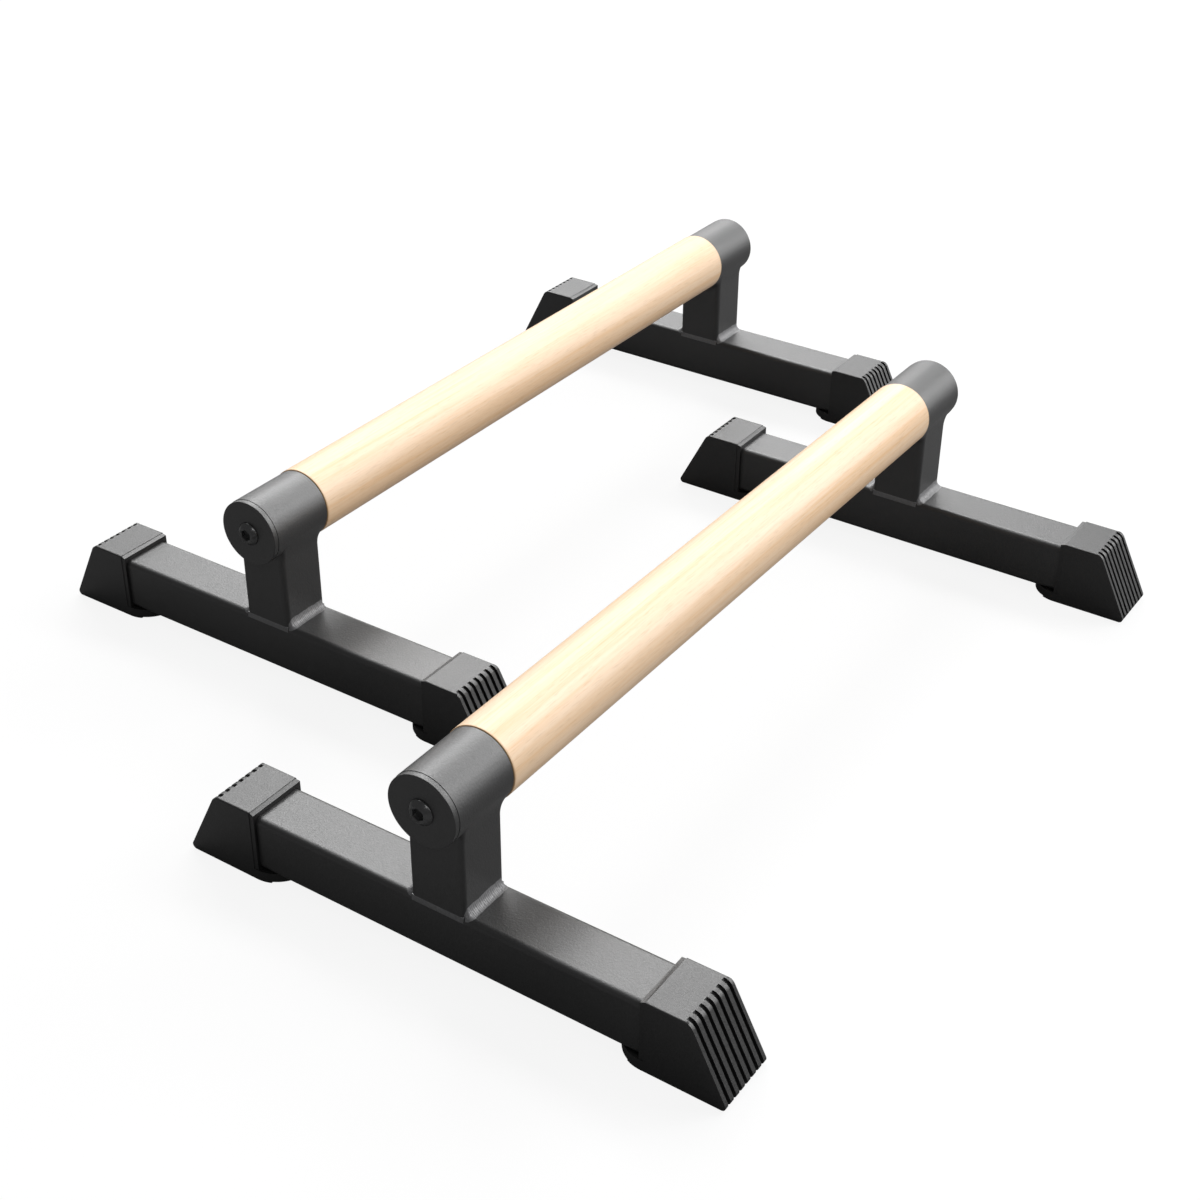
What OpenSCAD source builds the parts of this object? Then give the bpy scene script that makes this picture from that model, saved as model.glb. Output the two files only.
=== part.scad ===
// A pair of low parallettes. A turned beech grip is held between two welded steel stands,
// and each stand's foot tube has a ribbed rubber foot pushed on to either end.
// Millimetres. X runs along the foot tubes, Y along the grips, Z up from the floor.
// The origin is on the floor, midway between the two parallettes.

/* [Pair] */
// Distance between the two grips, centre to centre
pair_spacing = 293; // [280:1:600]
// How far one parallette stands ahead of the other, along the grips
pair_stagger = 175; // [80:1:260]

/* [Grip] */
// Diameter of the grip
grip_d = 50.6; // [44:0.2:60]
// Rise of the grip's axis above the foot tubes
grip_rise = 77; // [60:1:200]
// Depth of the shoulder where the grip is turned down to enter the collar
shoulder_step = 3.8; // [1.5:0.1:5]
// Eased edge round each shoulder of the grip
grip_ease = 0.8; // [0.3:0.1:1.2]
// Play between the grip's turned end and the collar, on the radius
spigot_play = 0.2; // [0.1:0.05:0.5]
// How far the turned end stops short of the end disc
spigot_short = 2; // [0.5:0.5:4]

/* [Collars and end discs] */
// Wall of the collar
collar_wall = 3; // [2:0.25:5]
// Length of the collar
collar_len = 51; // [45:1:70]
// Eased edge of the collar, next to the grip
collar_ease = 0.4; // [0.2:0.1:1]
// Chamfer of the collar and of the disc where they meet
rim_chamfer = 0.4; // [0.2:0.1:1]
// How far the end disc's rim lies inside the collar's
disc_inset = 0.3; // [0:0.1:1]
// Thickness of the end disc
disc_t = 4; // [3:0.5:6]

/* [Uprights and foot tubes] */
// Distance between the two uprights of a parallette, centre to centre
upright_spacing = 600; // [400:5:900]
// Side of the square tube
tube = 40; // [36:1:44]
// Wall of the square tube
tube_wall = 2; // [1.5:0.25:3]
// Outside corner radius of the square tube
tube_corner = 4; // [3:0.5:6]
// Length of each foot tube
foot_tube_len = 340; // [260:5:500]

/* [Welds] */
// Width of the weld bead on the foot tube
bead_foot = 5.1; // [3:0.1:8]
// Height of the weld bead on the upright
bead_post = 6; // [3:0.1:9]
// Fullness of the bead: 0 hollows it to its root, 1 leaves it flat
bead_full = 0.1; // [0:0.05:1]
// How far each bead stops short of the upright's faces
bead_stop = 3; // [0.5:0.1:4]
// How far the weld under the collar reaches down the upright
collar_bead = 3.1; // [1.5:0.1:6]

/* [Rubber feet] */
// Thickness of the rubber under the tube
sole_t = 7.5; // [6:0.5:12]
// Thickness of the rubber over the tube
cap_t = 4.4; // [2.5:0.1:6]
// Thickness of the rubber beside the tube, at the top
side_t = 2; // [1.4:0.1:5]
// How much further out each side stands at the floor than at the top
side_flare = 0.4; // [0.2:0.1:6]
// Play between the tube and the rubber
foot_play = 0.3; // [0.1:0.05:0.6]
// How much of the tube the rubber covers
foot_cover = 26.5; // [15:0.5:40]
// Rubber beyond the end of the tube, at the top
foot_end_t = 6.4; // [5:0.2:12]
// Lean of the foot's end from upright, in degrees
foot_lean = 27; // [10:0.5:35]
// Rounding over the top of the foot's end
foot_top_r = 6.5; // [3:0.5:10]
// Rounding where the foot's end meets the floor
foot_floor_r = 3; // [1:0.5:5]
// Rounding along the foot's top side edges
foot_side_r = 1.2; // [0.5:0.1:1.6]
// Width of the lip round the foot's mouth
lip_w = 3.4; // [2.5:0.1:6]
// Step by which the lip lies inside the rest of the foot
lip_step = 0.4; // [0.2:0.1:0.8]
// How much further the lip's top falls towards the mouth
lip_fall = 0.9; // [0.2:0.1:1.5]
// Number of grooves down the foot's end
groove_count = 7; // [3:1:9]
// Width of each groove
groove_w = 2.2; // [1:0.1:3]
// Depth of each groove
groove_depth = 2.5; // [1:0.1:3.5]
// Distance from the foot's side to the middle of the outermost groove, at the top
groove_margin = 3.9; // [3:0.1:8]
// How far each groove runs in on to the foot's top before it fades out
groove_run = 6; // [5:0.5:10]
// Depth at which each groove turns down from its run on the top
groove_turn = 2.5; // [2:0.1:4]
// Height above the floor at which each groove turns plumb
groove_plumb = 3; // [1:0.5:5]
// How far the round tongue of the sole reaches along under the tube
tongue_len = 21.5; // [20:0.5:30]
// Step by which the tongue's end is held off the floor
tongue_lift = 1; // [0.5:0.1:2]
// How far the part that touches the floor reaches along the tongue
tongue_pad = 8.5; // [2:0.5:9]

/* [Grip bolts] */
// Thread diameter of the bolt
bolt_d = 10; // [6:1:12]
// Length of the bolt under its head
bolt_len = 35; // [28:1:45]
// Diameter of the bolt's button head
bolt_head_d = 17.5; // [16:0.5:24]
// Height of the bolt's button head
bolt_head_h = 5.5; // [4:0.5:7]
// Width across the flats of the bolt's socket
bolt_socket = 6; // [3:0.5:8]
// Depth of the bolt's socket
bolt_socket_depth = 3.5; // [2:0.5:4]
// Play round the bolt in the disc and in the wood, on the radius
bolt_play = 0.5; // [0.2:0.1:1]
// Outside diameter of the threaded insert in the grip
insert_d = 16; // [15:0.5:20]
// Length of the threaded insert
insert_len = 25; // [15:1:40]
// Play between the bolt and the insert, on the radius
thread_play = 0.05; // [0.02:0.01:0.1]

/* [Foot screws] */
// Distance from the foot's mouth to the screw through its tongue
screw_in = 14; // [14:0.5:15]
// Diameter of the screw
screw_d = 4.2; // [3:0.1:5]
// Length of the screw under its head
screw_len = 12; // [8:1:20]
// Diameter of the screw's head
screw_head_d = 8; // [7:0.5:10]
// Height of the screw's head
screw_head_h = 2.2; // [1.5:0.1:3]
// How far the head lies above the tongue's underside
screw_lift = 0.4; // [0.2:0.1:0.8]
// Play round the screw, on the radius
screw_play = 0.1; // [0.05:0.05:0.3]

/* [Hidden] */
$fn = 96;
fine_fn = 360;
small_fn = 48;
// How far a cut runs past the face that it opens
past = 1;

tube_low = sole_t;
tube_high = tube_low + tube;
grip_z = tube_high + grip_rise;
tube_end_x = foot_tube_len / 2;

spigot_d = grip_d - 2 * shoulder_step;
collar_bore = spigot_d + 2 * spigot_play;
collar_d = collar_bore + 2 * collar_wall;
disc_d = collar_d - 2 * disc_inset;

// Places along the grip, from the middle outwards
upright_y = upright_spacing / 2;
shoulder_y = upright_y - collar_len / 2;
collar_end_y = upright_y + collar_len / 2;
spigot_end_y = collar_end_y - spigot_short;
disc_face_y = collar_end_y + disc_t;
// How far the bolt's hole runs on past the bolt and the insert
bore_spare = 2;
bore_end_y = min(spigot_end_y - insert_len, disc_face_y - bolt_len) - bore_spare;

bolt_tip = 1;
bolt_rim = 0.8;
bolt_edge = 0.3;
bolt_flat_d = bolt_head_d / 2;
screw_tip = 2;
screw_recess = tongue_lift + screw_head_h + screw_lift;

foot_top_z = tube_high + foot_play + cap_t;
foot_top_w = tube + 2 * foot_play + 2 * side_t;
foot_floor_w = foot_top_w + 2 * side_flare;
foot_top_x = tube_end_x + foot_end_t;
foot_floor_x = foot_top_x + foot_top_z * tan(foot_lean);
mouth_x = tube_end_x - foot_cover;
screw_x = mouth_x - screw_in;
groove_pitch = (foot_top_w - 2 * groove_margin) / (groove_count - 1);

charcoal = [0.23, 0.235, 0.24];
bead_grey = [0.33, 0.335, 0.34];
black_rubber = [0.13, 0.13, 0.135];
beech = [0.88, 0.74, 0.55];
black_steel = [0.07, 0.07, 0.075];
zinc = [0.72, 0.73, 0.74];

BARS = ["right", "left"];
ENDS = ["front", "back"];
SIDES = ["outer", "inner"];

// Points on an arc about c, of radius r, from angle a to angle b
function arc(c, r, a, b, steps = 8) =
    [for (i = [0:steps]) let (t = a + (b - a) * i / steps) c + r * [cos(t), sin(t)]];

// Points of the rounding at q, between its neighbours p and s
function corner(p, q, s, r) =
    let (
        u = (p - q) / norm(p - q),
        v = (s - q) / norm(s - q),
        half = acos(u * v) / 2,
        c = q + (u + v) / norm(u + v) * r / sin(half),
        from_c = q + u * r / tan(half) - c,
        to_c = q + v * r / tan(half) - c,
        a = atan2(from_c.y, from_c.x),
        turn = (atan2(to_c.y, to_c.x) - a + 540) % 360 - 180
    )
    arc(c, r, a, a + turn);

// An outline with each corner rounded by its own radius
function rounded(points, radii) =
    let (n = len(points))
    [for (i = [0:n - 1])
        each radii[i] > 0
            ? corner(points[(i + n - 1) % n], points[i], points[(i + 1) % n], radii[i])
            : [points[i]]];

// Half the width of a rubber foot at height z
function foot_half_w(z) = (foot_floor_w - (foot_floor_w - foot_top_w) * z / foot_top_z) / 2;

// Puts a parallette in its place: the right one stands forward
module on_bar(bar) {
    s = bar == "right" ? 1 : -1;
    translate([s * pair_spacing / 2, -s * pair_stagger / 2, 0]) children();
}

// Turns what was made for the back end to either end
module on_end(end) {
    mirror([0, end == "front" ? 1 : 0, 0]) children();
}

// Turns a foot made for the +X side to the side named: inner faces the other parallette
module on_side(bar, side) {
    mirror([(bar == "right") == (side == "outer") ? 0 : 1, 0, 0]) children();
}

// Lays what was made along Z on to the grip's axis, from y outwards
module along_grip(y) {
    translate([0, y, grip_z]) rotate([-90, 0, 0]) children();
}

// Lays a section seen from the end of the foot tube along it, from x outwards
module along_foot(x, length) {
    translate([x, 0, 0]) rotate([90, 0, 90]) linear_extrude(length) children();
}

// A side view, drawn in X and Z, given a width along Y
module across_foot(width) {
    rotate([90, 0, 0]) linear_extrude(width, center = true) children();
}

// A rectangle with round corners, exact when cut or extruded
module round_rect(w, h, r) {
    square([w - 2 * r, h], center = true);
    square([w, h - 2 * r], center = true);
    for (x = [-1, 1], y = [-1, 1])
        translate([x * (w / 2 - r), y * (h / 2 - r)]) circle(r, $fn = small_fn);
}

// The square tube's outside, or its inside
module tube_section(inset = 0) {
    round_rect(tube - 2 * inset, tube - 2 * inset, tube_corner - inset);
}

// The foot tube's outside or inside as a solid bar
module foot_bar(half_len, inset = 0) {
    translate([0, 0, tube_low + tube / 2])
        along_foot(-half_len, 2 * half_len) tube_section(inset);
}

// The upright's outside as a solid bar, from the floor of the foot tube up
module upright_bar() {
    translate([0, 0, tube_low]) linear_extrude(tube + grip_rise) tube_section();
}

// The grip: a turned bar, its ends stepped down for the collars and bored for the inserts
module grip() {
    r = grip_d / 2;
    spigot_r = spigot_d / 2;
    insert_r = insert_d / 2;
    bore_r = bolt_d / 2 + bolt_play;
    half = [
        [r, shoulder_y - grip_ease],
        [r - grip_ease, shoulder_y],
        [spigot_r, shoulder_y],
        [spigot_r, spigot_end_y - grip_ease],
        [spigot_r - grip_ease, spigot_end_y],
        [insert_r, spigot_end_y],
        [insert_r, spigot_end_y - insert_len],
        [bore_r, spigot_end_y - insert_len],
        [bore_r, bore_end_y],
        [0, bore_end_y],
    ];
    other_half = [for (i = [len(half) - 1:-1:0]) [half[i].x, -half[i].y]];
    color(beech) along_grip(0) rotate_extrude() polygon(concat(half, other_half));
}

// The collar: a stub of round tube that the upright is welded to
module collar() {
    ro = collar_d / 2;
    ri = collar_bore / 2;
    color(charcoal) along_grip(shoulder_y) rotate_extrude() polygon([
        [ri, 0],
        [ro - collar_ease, 0],
        [ro, collar_ease],
        [ro, collar_len - rim_chamfer],
        [ro - rim_chamfer, collar_len],
        [ri, collar_len],
    ]);
}

// The end disc: a plate that closes the collar and carries the bolt's head
module end_disc() {
    r = disc_d / 2;
    hole_r = bolt_d / 2 + bolt_play;
    color(charcoal) along_grip(collar_end_y) rotate_extrude() polygon([
        [hole_r, 0],
        [r - rim_chamfer, 0],
        [r, rim_chamfer],
        [r, disc_t - collar_ease],
        [r - collar_ease, disc_t],
        [hole_r, disc_t],
    ]);
}

// The bolt: a domed button head with a hexagon socket, and its shank
module bolt() {
    r = bolt_head_d / 2;
    flat_r = bolt_flat_d / 2;
    // the dome's centre lies on the axis, level with z0
    z0 = (r * r - flat_r * flat_r + bolt_rim * bolt_rim - bolt_head_h * bolt_head_h)
        / (2 * (bolt_rim - bolt_head_h));
    dome = arc([0, z0], norm([r, bolt_rim - z0]),
        atan2(bolt_rim - z0, r), atan2(bolt_head_h - z0, flat_r));
    head = concat([[0, 0], [r - bolt_edge, 0], [r, bolt_edge]], dome, [[0, bolt_head_h]]);
    color(black_steel) along_grip(disc_face_y) difference() {
        union() {
            rotate_extrude() polygon(head);
            translate([0, 0, bolt_tip - bolt_len]) cylinder(h = bolt_len, d = bolt_d);
            translate([0, 0, -bolt_len])
                cylinder(h = bolt_tip, d1 = bolt_d - 2 * bolt_tip, d2 = bolt_d);
        }
        translate([0, 0, bolt_head_h - bolt_socket_depth])
            cylinder(h = bolt_head_h, d = bolt_socket / cos(30), $fn = 6);
    }
}

// The threaded insert, flush with the end of the grip's spigot
module insert() {
    bore_r = bolt_d / 2 + thread_play;
    color(zinc) along_grip(spigot_end_y - insert_len) rotate_extrude()
        translate([bore_r, 0]) square([insert_d / 2 - bore_r, insert_len]);
}

// The upright: square tube, its top coped to the underside of the collar
module upright() {
    color(charcoal) difference() {
        translate([0, upright_y, tube_high]) linear_extrude(grip_rise) difference() {
            tube_section();
            tube_section(tube_wall);
        }
        along_grip(shoulder_y) cylinder(h = collar_len, d = collar_d);
    }
}

// The foot tube: square tube, drilled underneath for the screws of its two feet
module foot_tube() {
    color(charcoal) translate([0, upright_y, 0]) difference() {
        foot_bar(tube_end_x);
        foot_bar(tube_end_x + past, tube_wall);
        for (s = [-1, 1]) translate([s * screw_x, 0, tube_low - past])
            cylinder(h = tube_wall + 2 * past, r = screw_d / 2 + screw_play, $fn = small_fn);
    }
}

// The base weld: a bead on either side, and weld laid flush at front and back
module base_weld() {
    x = tube / 2;
    root = x - tube_corner;
    toe = [x + bead_foot, tube_high];
    top = [x, tube_high + bead_post];
    // the bead's face is a curve from toe to top, drawn towards the inner corner
    pull = [x, tube_high] * (1 - bead_full) + (toe + top) / 2 * bead_full;
    face = [for (t = [0:0.125:1]) (1 - t) * (1 - t) * toe + 2 * t * (1 - t) * pull + t * t * top];
    bead = concat([[root, tube_high]], face, [[root, top.y]]);
    color(bead_grey) translate([0, upright_y, 0]) {
        for (s = [0, 1]) mirror([s, 0, 0]) difference() {
            across_foot(tube - 2 * bead_stop) polygon(bead);
            upright_bar();
        }
        difference() {
            translate([0, 0, tube_high - tube_corner]) linear_extrude(tube_corner)
                square([2 * root, tube], center = true);
            foot_bar(tube);
        }
    }
}

// The collar weld: a smooth fillet along either side of the coped joint
module collar_weld() {
    x = tube / 2;
    root = x - tube_corner;
    ro = collar_d / 2;
    // how far below the grip's axis the upright's face meets the collar
    meet = sqrt(ro * ro - x * x);
    // the radius that touches both and ends as far down the upright as the weld reaches
    r = collar_bead * (2 * meet + collar_bead) / (2 * (ro - x));
    down = meet + collar_bead;
    c = [x + r, grip_z - down];
    fillet = arc(c, r, 180, atan2(down, -c.x));
    inner = [[root, grip_z - down / 2], [root, c.y]];
    color(charcoal) for (s = [0, 1]) mirror([s, 0, 0]) difference() {
        translate([0, upright_y, 0]) across_foot(tube - 2 * bead_stop)
            polygon(concat(fillet, inner));
        translate([0, upright_y, 0]) upright_bar();
        along_grip(shoulder_y) cylinder(h = collar_len, r = ro, $fn = fine_fn);
    }
}

// The foot seen from the side
module foot_side_view() {
    polygon(rounded(
        [[mouth_x, 0], [foot_floor_x, 0], [foot_top_x, foot_top_z], [mouth_x, foot_top_z]],
        [0, foot_floor_r, foot_top_r, 0]));
}

// The foot seen from its end, wider at the floor, drawn in by an inset
module foot_end_view(inset = 0) {
    floor_y = foot_floor_w / 2 - inset;
    top_y = foot_top_w / 2 - inset;
    top_z = foot_top_z - inset;
    polygon(rounded(
        [[-floor_y, 0], [floor_y, 0], [top_y, top_z], [-top_y, top_z]],
        [0, 0, foot_side_r, foot_side_r]));
}

// What one groove takes out of the foot, seen from the side
module groove_view() {
    run_x = foot_top_x - groove_run;
    out_x = foot_floor_x + past;
    // the groove's floor, level with z
    function floor_x(z) =
        foot_top_x - groove_depth / cos(foot_lean) + (foot_top_z - z) * tan(foot_lean);
    polygon(rounded(
        [[run_x, foot_top_z + past], [run_x, foot_top_z],
         [floor_x(foot_top_z - groove_turn), foot_top_z - groove_turn],
         [floor_x(groove_plumb), groove_plumb], [floor_x(groove_plumb), -past],
         [out_x, -past], [out_x, foot_top_z + past]],
        [0, 0, foot_top_r, 0, 0, 0, 0]));
}

// The rubber foot: a sleeve over the tube's end, grooved down its leaning end,
// with a round tongue of sole that reaches back under the tube
module rubber_foot() {
    tongue_x = mouth_x - tongue_len + foot_floor_w / 2;
    socket_w = tube + 2 * foot_play;
    socket_h = tube + foot_play;
    color(black_rubber) translate([0, upright_y, 0]) difference() {
        union() {
            intersection() {
                across_foot(foot_floor_w) foot_side_view();
                along_foot(mouth_x, foot_floor_x - mouth_x) foot_end_view();
            }
            difference() {
                translate([tongue_x, 0, 0])
                    cylinder(h = sole_t, r1 = foot_half_w(0), r2 = foot_half_w(sole_t));
                translate([mouth_x - tongue_pad - foot_floor_w, -foot_floor_w / 2, -past])
                    cube([foot_floor_w, foot_floor_w, past + tongue_lift]);
            }
        }
        // the socket for the tube, which stands on the sole
        along_foot(mouth_x - past, foot_cover + past)
            translate([0, tube_low + socket_h / 2]) round_rect(socket_w, socket_h, tube_corner);
        // the lip, stepped in all round
        along_foot(mouth_x - past, past + lip_w) difference() {
            translate([-foot_floor_w, sole_t]) square([2 * foot_floor_w, foot_top_z + past]);
            foot_end_view(lip_step);
        }
        // and falling towards the mouth on top
        across_foot(2 * foot_floor_w) polygon([
            [mouth_x + lip_w, foot_top_z - lip_step],
            [mouth_x + lip_w, foot_top_z + past],
            [mouth_x - past, foot_top_z + past],
            [mouth_x - past, foot_top_z - lip_step - lip_fall * (1 + past / lip_w)],
        ]);
        // the grooves, which start on the top and are as deep all the way down
        for (i = [0:groove_count - 1])
            translate([0, groove_margin - foot_top_w / 2 + i * groove_pitch, 0])
                across_foot(groove_w) groove_view();
        // the recess and the hole for the screw
        translate([screw_x, 0, -past]) {
            cylinder(h = screw_recess + past, r = screw_head_d / 2 + screw_play, $fn = small_fn);
            cylinder(h = sole_t + 2 * past, r = screw_d / 2 + screw_play, $fn = small_fn);
        }
    }
}

// One screw, head down, with a cross recess
module foot_screw() {
    edge = screw_head_h / 2;
    difference() {
        union() {
            translate([0, 0, -screw_head_h])
                cylinder(h = edge, d1 = screw_head_d - 2 * edge, d2 = screw_head_d, $fn = small_fn);
            translate([0, 0, -edge]) cylinder(h = edge, d = screw_head_d, $fn = small_fn);
            cylinder(h = screw_len - screw_tip, d = screw_d, $fn = small_fn);
            translate([0, 0, screw_len - screw_tip])
                cylinder(h = screw_tip, d1 = screw_d, d2 = screw_d / 3, $fn = small_fn);
        }
        for (a = [0, 90]) translate([0, 0, -screw_head_h]) rotate(a)
            cube([screw_head_d / 2, screw_head_d / 8, screw_head_h], center = true);
    }
}

// The four screws that hold the feet of one parallette to its foot tubes
module foot_screws() {
    color(zinc) for (e = [-1, 1], s = [-1, 1])
        translate([s * screw_x, e * upright_y, screw_recess]) foot_screw();
}

for (bar = BARS) on_bar(bar) {
    grip();
    foot_screws();
    for (end = ENDS) on_end(end) {
        stand = str(bar, "_", end);
        collar();
        end_disc();
        bolt();
        insert();
        upright();
        foot_tube();
        base_weld();
        collar_weld();
        for (side = SIDES) on_side(bar, side)
            rubber_foot();
    }
}
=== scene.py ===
# %% [markdown]
# A pair of low parallettes, for handstands and dips close to the floor.
# Each one is a round beech grip held between two welded steel stands, and every foot tube
# wears a ribbed rubber foot at either end. The solids come from the CAD frame in real
# sizes. This script reads their boxes, so that each new piece lands where its solid is. It
# swaps those that deserve finer edges for denser meshes, and paints everything.

# %% Load the frame
import math

import bmesh
import bpy
import numpy as np
from mathutils import Matrix, Vector, noise


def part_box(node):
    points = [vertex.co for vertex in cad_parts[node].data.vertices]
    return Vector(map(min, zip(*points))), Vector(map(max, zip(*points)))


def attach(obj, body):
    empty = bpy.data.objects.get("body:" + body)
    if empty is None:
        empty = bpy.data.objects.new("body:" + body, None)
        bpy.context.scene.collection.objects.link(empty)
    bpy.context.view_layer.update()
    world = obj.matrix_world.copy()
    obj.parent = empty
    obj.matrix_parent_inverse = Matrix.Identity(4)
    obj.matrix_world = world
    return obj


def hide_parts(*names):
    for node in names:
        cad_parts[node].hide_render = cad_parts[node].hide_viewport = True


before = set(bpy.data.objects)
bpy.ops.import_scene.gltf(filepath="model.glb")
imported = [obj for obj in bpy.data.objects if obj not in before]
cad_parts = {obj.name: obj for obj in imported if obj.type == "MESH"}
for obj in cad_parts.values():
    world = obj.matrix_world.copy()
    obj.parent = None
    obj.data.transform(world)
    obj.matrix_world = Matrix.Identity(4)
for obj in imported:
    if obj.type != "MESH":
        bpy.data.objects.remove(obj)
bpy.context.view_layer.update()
MM = 0.001
BARS = ("right", "left")
ENDS = ("front", "back")
SIDES = ("outer", "inner")
STANDS = [(bar, end) for bar in BARS for end in ENDS]

# %% [markdown]
# The camera stands where the photographer's stood. It was found by fitting a pinhole camera
# to corners of the tubes and feet, which gives the eye, the point in the middle of the frame,
# the focal length and a hair of roll. A camera could also be turned by Euler angles, but a
# matrix built from its own right, up and back directions leaves nothing to guess.

# %% Camera
EYE = Vector((0.69321, -1.05686, 0.79555))
LOOK_AT = Vector((0.04834, -0.08977, 0.06000))
ROLL = math.radians(0.427)
LENS_MM = 56.727
SENSOR_MM = 36.0
CLIP_END = 50.0


def aim(eye, look_at, roll=0.0):
    """A matrix that stands at eye and looks at a point, turned by roll about its own axis."""
    back = (eye - look_at).normalized()
    right = Vector((0, 0, 1)).cross(back).normalized()
    up = back.cross(right)
    tilted = math.cos(roll) * right + math.sin(roll) * up
    turned = Matrix((tilted, back.cross(tilted), back)).transposed().to_4x4()
    turned.translation = eye
    return turned


camera = bpy.data.objects.new("camera", bpy.data.cameras.new("camera"))
bpy.context.scene.collection.objects.link(camera)
camera.data.lens = LENS_MM
camera.data.sensor_width = SENSOR_MM
camera.data.clip_end = CLIP_END
camera.matrix_world = aim(EYE, LOOK_AT, ROLL)
bpy.context.scene.camera = camera
print("camera", round((EYE - LOOK_AT).length, 3), "m from the middle of the view")

# %% [markdown]
# Small helpers that every material needs. A node is made and its inputs are filled in one
# line, and a list of pairs says what feeds what, so that a material reads like its picture in
# the node editor.

# %% Node helpers
FLOAT = "NodeSocketFloat"
COLOUR = "NodeSocketColor"
VECTOR = "NodeSocketVector"


def new_node(tree, kind, **values):
    """A shader node of a kind, with inputs given by name or number and the rest as settings."""
    made = tree.nodes.new(kind)
    for key, value in values.items():
        if key.startswith("in_"):
            name = key[3:].replace("_", " ")
            socket = made.inputs[int(name)] if name.isdigit() else made.inputs[name]
            socket.default_value = value
        else:
            setattr(made, key, value)
    return made


def wire(tree, links):
    """Joins sockets, given as pairs of an output and the input that it feeds."""
    for source, target in links:
        tree.links.new(source, target)


def new_group(name, inputs, outputs):
    """An empty node group with its sockets, and its own input and output nodes."""
    tree = bpy.data.node_groups.new(name, "ShaderNodeTree")
    for label, kind, value in inputs:
        socket = tree.interface.new_socket(label, in_out="INPUT", socket_type=kind)
        if value is not None:
            socket.default_value = value
    for label, kind in outputs:
        tree.interface.new_socket(label, in_out="OUTPUT", socket_type=kind)
    return tree, tree.nodes.new("NodeGroupInput"), tree.nodes.new("NodeGroupOutput")


def new_material(name, **principled):
    """A material with one Principled shader, whose constant inputs are given by name."""
    made = bpy.data.materials.new(name)
    made.use_nodes = True
    shader = made.node_tree.nodes["Principled BSDF"]
    for key, value in principled.items():
        shader.inputs[key.replace("_", " ")].default_value = value
    return made, made.node_tree, shader


def place_group(tree, group, **values):
    """A node group placed in a material with its own values, fed by object coordinates."""
    made = tree.nodes.new("ShaderNodeGroup")
    made.node_tree = group
    where = tree.nodes.new("ShaderNodeTexCoord")
    tree.links.new(where.outputs["Object"], made.inputs["Vector"])
    for key, value in values.items():
        made.inputs[key.replace("_", " ")].default_value = value
    return made


print("groups can have sockets of", FLOAT, COLOUR, VECTOR)

# %% [markdown]
# The steel has a fine-textured powder coat and the rubber a matt mould finish. Both are
# skins of tiny, irregular bumps, so one group serves both: a fine noise for the bumps, and a
# slow one that makes the colour drift a little from place to place. An image texture would
# need unwrapping; noise in object space sits on any solid at its true scale.

# %% Group: pebbled skin
MM_IN_A_METRE = 1000.0
tree, into, out = new_group(
    "pebbled_skin",
    [("Vector", VECTOR, None), ("Pebble mm", FLOAT, 0.8), ("Pebble Mix", FLOAT, 0.5),
     ("Drift mm", FLOAT, 40.0), ("Light", COLOUR, None), ("Dark", COLOUR, None),
     ("Roughness", FLOAT, 0.4), ("Roughness Spread", FLOAT, 0.1)],
    [("Color", COLOUR), ("Roughness", FLOAT), ("Height", FLOAT)])
pebble_scale = new_node(tree, "ShaderNodeMath", operation="DIVIDE", in_0=MM_IN_A_METRE)
drift_scale = new_node(tree, "ShaderNodeMath", operation="DIVIDE", in_0=MM_IN_A_METRE)
pebble = new_node(tree, "ShaderNodeTexNoise", in_Detail=3.0, in_Roughness=0.6)
drift = new_node(tree, "ShaderNodeTexNoise", in_Detail=4.0, in_Roughness=0.55)
blend = new_node(tree, "ShaderNodeMix", data_type="FLOAT")
paint = new_node(tree, "ShaderNodeMix", data_type="RGBA")
centre = new_node(tree, "ShaderNodeMath", operation="SUBTRACT", in_1=0.5)
spread = new_node(tree, "ShaderNodeMath", operation="MULTIPLY_ADD")
wire(tree, [
    (into.outputs["Pebble mm"], pebble_scale.inputs[1]),
    (into.outputs["Drift mm"], drift_scale.inputs[1]),
    (into.outputs["Vector"], pebble.inputs["Vector"]),
    (into.outputs["Vector"], drift.inputs["Vector"]),
    (pebble_scale.outputs[0], pebble.inputs["Scale"]),
    (drift_scale.outputs[0], drift.inputs["Scale"]),
    (into.outputs["Pebble Mix"], blend.inputs[0]),
    (drift.outputs[0], blend.inputs[2]),
    (pebble.outputs[0], blend.inputs[3]),
    (blend.outputs[0], paint.inputs[0]),
    (into.outputs["Dark"], paint.inputs[6]),
    (into.outputs["Light"], paint.inputs[7]),
    (paint.outputs[2], out.inputs["Color"]),
    (blend.outputs[0], centre.inputs[0]),
    (centre.outputs[0], spread.inputs[0]),
    (into.outputs["Roughness Spread"], spread.inputs[1]),
    (into.outputs["Roughness"], spread.inputs[2]),
    (spread.outputs[0], out.inputs["Roughness"]),
    (pebble.outputs[0], out.inputs["Height"])])
pebbled_skin = tree
print("group", pebbled_skin.name, len(pebbled_skin.nodes), "nodes")
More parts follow.
